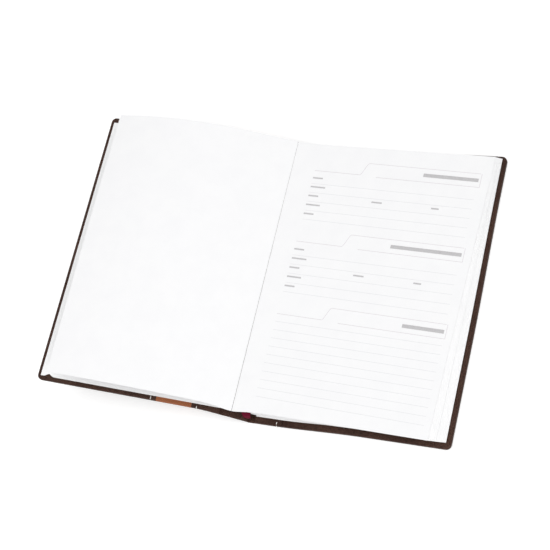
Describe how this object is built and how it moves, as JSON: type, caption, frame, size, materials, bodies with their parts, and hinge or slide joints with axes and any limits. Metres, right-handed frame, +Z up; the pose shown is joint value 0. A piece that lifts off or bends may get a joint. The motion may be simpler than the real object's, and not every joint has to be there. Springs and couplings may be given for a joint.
{
  "type": "daily planner",
  "caption": "Case-bound daily planner lying open: dark leatherette cover with a stitched caramel band, folded sections, a printed form page, a raised title leaf and a ribbon marker",
  "frame": {"origin": "on the table, under the middle of the open planner's bounding box", "axes": "+X from the front cover's fore-edge to the back cover's fore-edge, +Y from the tail to the head, +Z up, off the table"},
  "size_m": [0.2987, 0.206, 0.0448],
  "materials": {
    "dark_leatherette": "fine grained, satin",
    "caramel_leatherette": "fine grained, satin",
    "greyboard": "dense grey board, matte",
    "white_paper": "uncoated, matte",
    "white_thread": "twisted thread",
    "lining_gauze": "glued gauze and paper",
    "crimson_ribbon": "satin weave"
  },
  "bodies": {
    "back_cover": {"back_board": "greyboard", "back_panel": "dark_leatherette", "spine_cover_back": "dark_leatherette", "back_seam_stitching": "white_thread", "back_pastedown": "white_paper", "back_flyleaf": "white_paper", "signature_01": "white_paper", "spine_lining": "lining_gauze"},
    "spine": {"spine_strip": "greyboard", "spine_cover_middle": "dark_leatherette"},
    "front_cover": {"front_board": "greyboard", "front_panel": "dark_leatherette", "front_band": "caramel_leatherette", "spine_cover_front": "dark_leatherette", "front_band_stitching_inner": "white_thread", "front_band_stitching_outer": "white_thread", "front_pastedown": "white_paper", "front_flyleaf": "white_paper"},
    "section_02": {"signature_02": "white_paper"},
    "section_03": {"signature_03": "white_paper"},
    "section_04": {"signature_04": "white_paper"},
    "section_05": {"signature_05": "white_paper"},
    "section_06": {"signature_06": "white_paper", "ribbon_marker": "crimson_ribbon"},
    "section_07": {"signature_07": "white_paper"},
    "section_08": {"signature_08": "white_paper"},
    "section_09": {"signature_09": "white_paper"},
    "section_10": {"signature_10": "white_paper"},
    "section_11": {"signature_11": "white_paper", "form_leaf": "white_paper"},
    "title_leaf": {"title_leaf": "white_paper"}
  },
  "joints": [
    {"name": "front_cover_fold", "type": "hinge", "parent": "spine", "child": "front_cover", "pos_m": [-0.00764, 0, 0.00941], "axis": [0, 1, 0], "range_deg": [0, 115]},
    {"name": "spine_fold", "type": "hinge", "parent": "back_cover", "child": "spine", "pos_m": [0.00587, 0, 0.0003], "axis": [0, 1, 0], "range_deg": [0, 56]},
    {"name": "section_02_shear", "type": "slide", "parent": "back_cover", "child": "section_02", "axis": [1, 0, 0], "range_m": [0, 0.0012]},
    {"name": "section_03_shear", "type": "slide", "parent": "back_cover", "child": "section_03", "axis": [1, 0, 0], "range_m": [0, 0.0024]},
    {"name": "section_04_shear", "type": "slide", "parent": "back_cover", "child": "section_04", "axis": [1, 0, 0], "range_m": [0, 0.0036]},
    {"name": "section_05_shear", "type": "slide", "parent": "back_cover", "child": "section_05", "axis": [1, 0, 0], "range_m": [0, 0.0048]},
    {"name": "section_06_shear", "type": "slide", "parent": "back_cover", "child": "section_06", "axis": [1, 0, 0], "range_m": [0, 0.006]},
    {"name": "section_07_shear", "type": "slide", "parent": "back_cover", "child": "section_07", "axis": [1, 0, 0], "range_m": [0, 0.0072]},
    {"name": "section_08_shear", "type": "slide", "parent": "back_cover", "child": "section_08", "axis": [1, 0, 0], "range_m": [0, 0.0084]},
    {"name": "section_09_shear", "type": "slide", "parent": "back_cover", "child": "section_09", "axis": [1, 0, 0], "range_m": [0, 0.0096]},
    {"name": "section_10_shear", "type": "slide", "parent": "back_cover", "child": "section_10", "axis": [1, 0, 0], "range_m": [0, 0.0108]},
    {"name": "section_11_shear", "type": "slide", "parent": "back_cover", "child": "section_11", "axis": [1, 0, 0], "range_m": [0, 0.012], "deforming": ["spine_lining"]},
    {"name": "title_leaf_turn", "type": "hinge", "parent": "section_11", "child": "title_leaf", "pos_m": [-0.00333, 0.0008, 0.0128], "axis": [0, 1, 0], "range_deg": [0, 180], "deforming": ["title_leaf"]}
  ],
  "couplings": [
    {"joint": "spine_fold", "follows": "front_cover_fold", "ratio": 0.48696},
    {"joint": "section_02_shear", "follows": "front_cover_fold", "m_per_rad": 0.00059787},
    {"joint": "section_03_shear", "follows": "front_cover_fold", "m_per_rad": 0.0011957},
    {"joint": "section_04_shear", "follows": "front_cover_fold", "m_per_rad": 0.0017936},
    {"joint": "section_05_shear", "follows": "front_cover_fold", "m_per_rad": 0.0023915},
    {"joint": "section_06_shear", "follows": "front_cover_fold", "m_per_rad": 0.0029893},
    {"joint": "section_07_shear", "follows": "front_cover_fold", "m_per_rad": 0.0035872},
    {"joint": "section_08_shear", "follows": "front_cover_fold", "m_per_rad": 0.0041851},
    {"joint": "section_09_shear", "follows": "front_cover_fold", "m_per_rad": 0.004783},
    {"joint": "section_10_shear", "follows": "front_cover_fold", "m_per_rad": 0.0053808},
    {"joint": "section_11_shear", "follows": "front_cover_fold", "m_per_rad": 0.0059787},
    {"joint": "title_leaf_turn", "follows": "front_cover_fold", "ratio": 1.5652}
  ]
}
